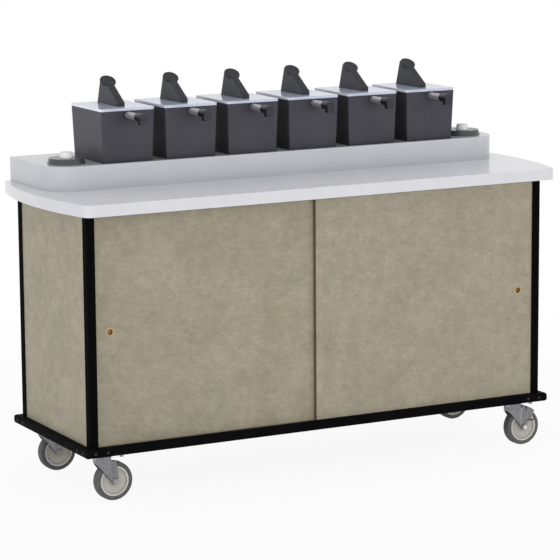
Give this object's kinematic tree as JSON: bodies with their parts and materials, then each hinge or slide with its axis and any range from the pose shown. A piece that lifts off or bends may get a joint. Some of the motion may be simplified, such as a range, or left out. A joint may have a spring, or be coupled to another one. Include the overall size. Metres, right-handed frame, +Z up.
{
  "type": "condiment cart",
  "caption": "Mobile condiment cart: laminate cabinet with sliding doors on swivel casters, white worktop, and a plinth with press-handle dispensers and a cup dispenser at each end.",
  "frame": {"origin": "on the floor, under the middle of the worktop's outline", "axes": "+X along the length to the right as seen from the front, +Y to the back, +Z up"},
  "size_m": [1.7936, 0.668, 1.2999],
  "materials": {
    "panel_laminate": "stone-look laminate on board, matt",
    "shelf_laminate": "pale laminate on board, matt",
    "deck_board": "black-sealed board",
    "worktop_laminate": "white laminate on board, satin",
    "plinth_laminate": "white laminate on board, satin",
    "corner_trim": "black, matt",
    "bumper": "black, matt",
    "track": "dark brown, matt",
    "pull": "tan",
    "vessel": "near black, semi-gloss",
    "handle": "near black, satin",
    "stainless": "satin stainless",
    "collar": "dark grey, matt",
    "cup": "white, matt",
    "zinc_steel": "bright zinc",
    "wheel": "grey, matt"
  },
  "bodies": {
    "cabinet": {"base_deck": "deck_board", "bumper": "bumper", "bumper_screws": "zinc_steel", "corner_posts": "corner_trim", "left_side_panel": "panel_laminate", "right_side_panel": "panel_laminate", "back_panel": "panel_laminate", "worktop_cleats": "deck_board", "upper_door_track": "track", "lower_door_track": "track", "storage_shelf": "shelf_laminate", "shelf_supports": "zinc_steel", "worktop": "worktop_laminate", "plinth": "plinth_laminate", "caster_plates": "zinc_steel", "caster_bolts": "zinc_steel", "cup_collars": "collar", "cup_tubes": "stainless", "vessel_1": "vessel", "vessel_2": "vessel", "vessel_3": "vessel", "vessel_4": "vessel", "vessel_5": "vessel", "vessel_6": "vessel"},
    "left_door": {"left_door": "panel_laminate", "left_door_pull": "pull"},
    "right_door": {"right_door": "panel_laminate", "right_door_pull": "pull"},
    "front_left_caster": {"front_left_fork": "zinc_steel"},
    "front_left_wheel": {"front_left_wheel": "wheel"},
    "front_right_caster": {"front_right_fork": "zinc_steel"},
    "front_right_wheel": {"front_right_wheel": "wheel"},
    "front_right_brake": {"front_right_brake": "zinc_steel"},
    "rear_left_caster": {"rear_left_fork": "zinc_steel"},
    "rear_left_wheel": {"rear_left_wheel": "wheel"},
    "rear_right_caster": {"rear_right_fork": "zinc_steel"},
    "rear_right_wheel": {"rear_right_wheel": "wheel"},
    "rear_right_brake": {"rear_right_brake": "zinc_steel"},
    "lid_1": {"lid_1": "stainless", "pump_1": "stainless"},
    "handle_1": {"handle_1": "handle"},
    "lid_2": {"lid_2": "stainless", "pump_2": "stainless"},
    "handle_2": {"handle_2": "handle"},
    "lid_3": {"lid_3": "stainless", "pump_3": "stainless"},
    "handle_3": {"handle_3": "handle"},
    "lid_4": {"lid_4": "stainless", "pump_4": "stainless"},
    "handle_4": {"handle_4": "handle"},
    "lid_5": {"lid_5": "stainless", "pump_5": "stainless"},
    "handle_5": {"handle_5": "handle"},
    "lid_6": {"lid_6": "stainless", "pump_6": "stainless"},
    "handle_6": {"handle_6": "handle"},
    "left_cups": {"left_cup_stack": "cup", "left_cup_follower": "collar"},
    "right_cups": {"right_cup_stack": "cup", "right_cup_follower": "collar"}
  },
  "joints": [
    {"name": "left_door_slide", "type": "slide", "parent": "cabinet", "child": "left_door", "axis": [1, 0, 0], "range_m": [0, 0.7845]},
    {"name": "right_door_slide", "type": "slide", "parent": "cabinet", "child": "right_door", "axis": [-1, 0, 0], "range_m": [0, 0.7845]},
    {"name": "front_left_swivel", "type": "hinge", "parent": "cabinet", "child": "front_left_caster", "pos_m": [-0.764, -0.232, 0.1456], "axis": [0, 0, 1], "continuous": true},
    {"name": "front_left_roll", "type": "hinge", "parent": "front_left_caster", "child": "front_left_wheel", "pos_m": [-0.737, -0.232, 0.0625], "axis": [0, 1, 0], "continuous": true},
    {"name": "front_right_swivel", "type": "hinge", "parent": "cabinet", "child": "front_right_caster", "pos_m": [0.764, -0.232, 0.1456], "axis": [0, 0, 1], "continuous": true},
    {"name": "front_right_roll", "type": "hinge", "parent": "front_right_caster", "child": "front_right_wheel", "pos_m": [0.791, -0.232, 0.0625], "axis": [0, 1, 0], "continuous": true},
    {"name": "front_right_brake_press", "type": "hinge", "parent": "front_right_caster", "child": "front_right_brake", "pos_m": [0.79, -0.232, 0.085], "axis": [0, 1, 0], "range_deg": [0, 7]},
    {"name": "rear_left_swivel", "type": "hinge", "parent": "cabinet", "child": "rear_left_caster", "pos_m": [-0.764, 0.216, 0.1456], "axis": [0, 0, 1], "continuous": true},
    {"name": "rear_left_roll", "type": "hinge", "parent": "rear_left_caster", "child": "rear_left_wheel", "pos_m": [-0.737, 0.216, 0.0625], "axis": [0, 1, 0], "continuous": true},
    {"name": "rear_right_swivel", "type": "hinge", "parent": "cabinet", "child": "rear_right_caster", "pos_m": [0.764, 0.216, 0.1456], "axis": [0, 0, 1], "continuous": true},
    {"name": "rear_right_roll", "type": "hinge", "parent": "rear_right_caster", "child": "rear_right_wheel", "pos_m": [0.791, 0.216, 0.0625], "axis": [0, 1, 0], "continuous": true},
    {"name": "rear_right_brake_press", "type": "hinge", "parent": "rear_right_caster", "child": "rear_right_brake", "pos_m": [0.79, 0.216, 0.085], "axis": [0, 1, 0], "range_deg": [0, 7]},
    {"name": "lid_1_lift", "type": "slide", "parent": "cabinet", "child": "lid_1", "axis": [0, 0, 1], "range_m": [0, 0.16]},
    {"name": "handle_1_press", "type": "slide", "parent": "lid_1", "child": "handle_1", "axis": [0, 0, 1], "range_m": [-0.045, 0], "stiffness_N_per_m": 300, "springref_m": 0.02},
    {"name": "lid_2_lift", "type": "slide", "parent": "cabinet", "child": "lid_2", "axis": [0, 0, 1], "range_m": [0, 0.16]},
    {"name": "handle_2_press", "type": "slide", "parent": "lid_2", "child": "handle_2", "axis": [0, 0, 1], "range_m": [-0.045, 0], "stiffness_N_per_m": 300, "springref_m": 0.02},
    {"name": "lid_3_lift", "type": "slide", "parent": "cabinet", "child": "lid_3", "axis": [0, 0, 1], "range_m": [0, 0.16]},
    {"name": "handle_3_press", "type": "slide", "parent": "lid_3", "child": "handle_3", "axis": [0, 0, 1], "range_m": [-0.045, 0], "stiffness_N_per_m": 300, "springref_m": 0.02},
    {"name": "lid_4_lift", "type": "slide", "parent": "cabinet", "child": "lid_4", "axis": [0, 0, 1], "range_m": [0, 0.16]},
    {"name": "handle_4_press", "type": "slide", "parent": "lid_4", "child": "handle_4", "axis": [0, 0, 1], "range_m": [-0.045, 0], "stiffness_N_per_m": 300, "springref_m": 0.02},
    {"name": "lid_5_lift", "type": "slide", "parent": "cabinet", "child": "lid_5", "axis": [0, 0, 1], "range_m": [0, 0.16]},
    {"name": "handle_5_press", "type": "slide", "parent": "lid_5", "child": "handle_5", "axis": [0, 0, 1], "range_m": [-0.045, 0], "stiffness_N_per_m": 300, "springref_m": 0.02},
    {"name": "lid_6_lift", "type": "slide", "parent": "cabinet", "child": "lid_6", "axis": [0, 0, 1], "range_m": [0, 0.16]},
    {"name": "handle_6_press", "type": "slide", "parent": "lid_6", "child": "handle_6", "axis": [0, 0, 1], "range_m": [-0.045, 0], "stiffness_N_per_m": 300, "springref_m": 0.02},
    {"name": "left_cups_press", "type": "slide", "parent": "cabinet", "child": "left_cups", "axis": [0, 0, 1], "range_m": [-0.018, 0], "stiffness_N_per_m": 60, "springref_m": 0.02},
    {"name": "right_cups_press", "type": "slide", "parent": "cabinet", "child": "right_cups", "axis": [0, 0, 1], "range_m": [-0.018, 0], "stiffness_N_per_m": 60, "springref_m": 0.02}
  ]
}
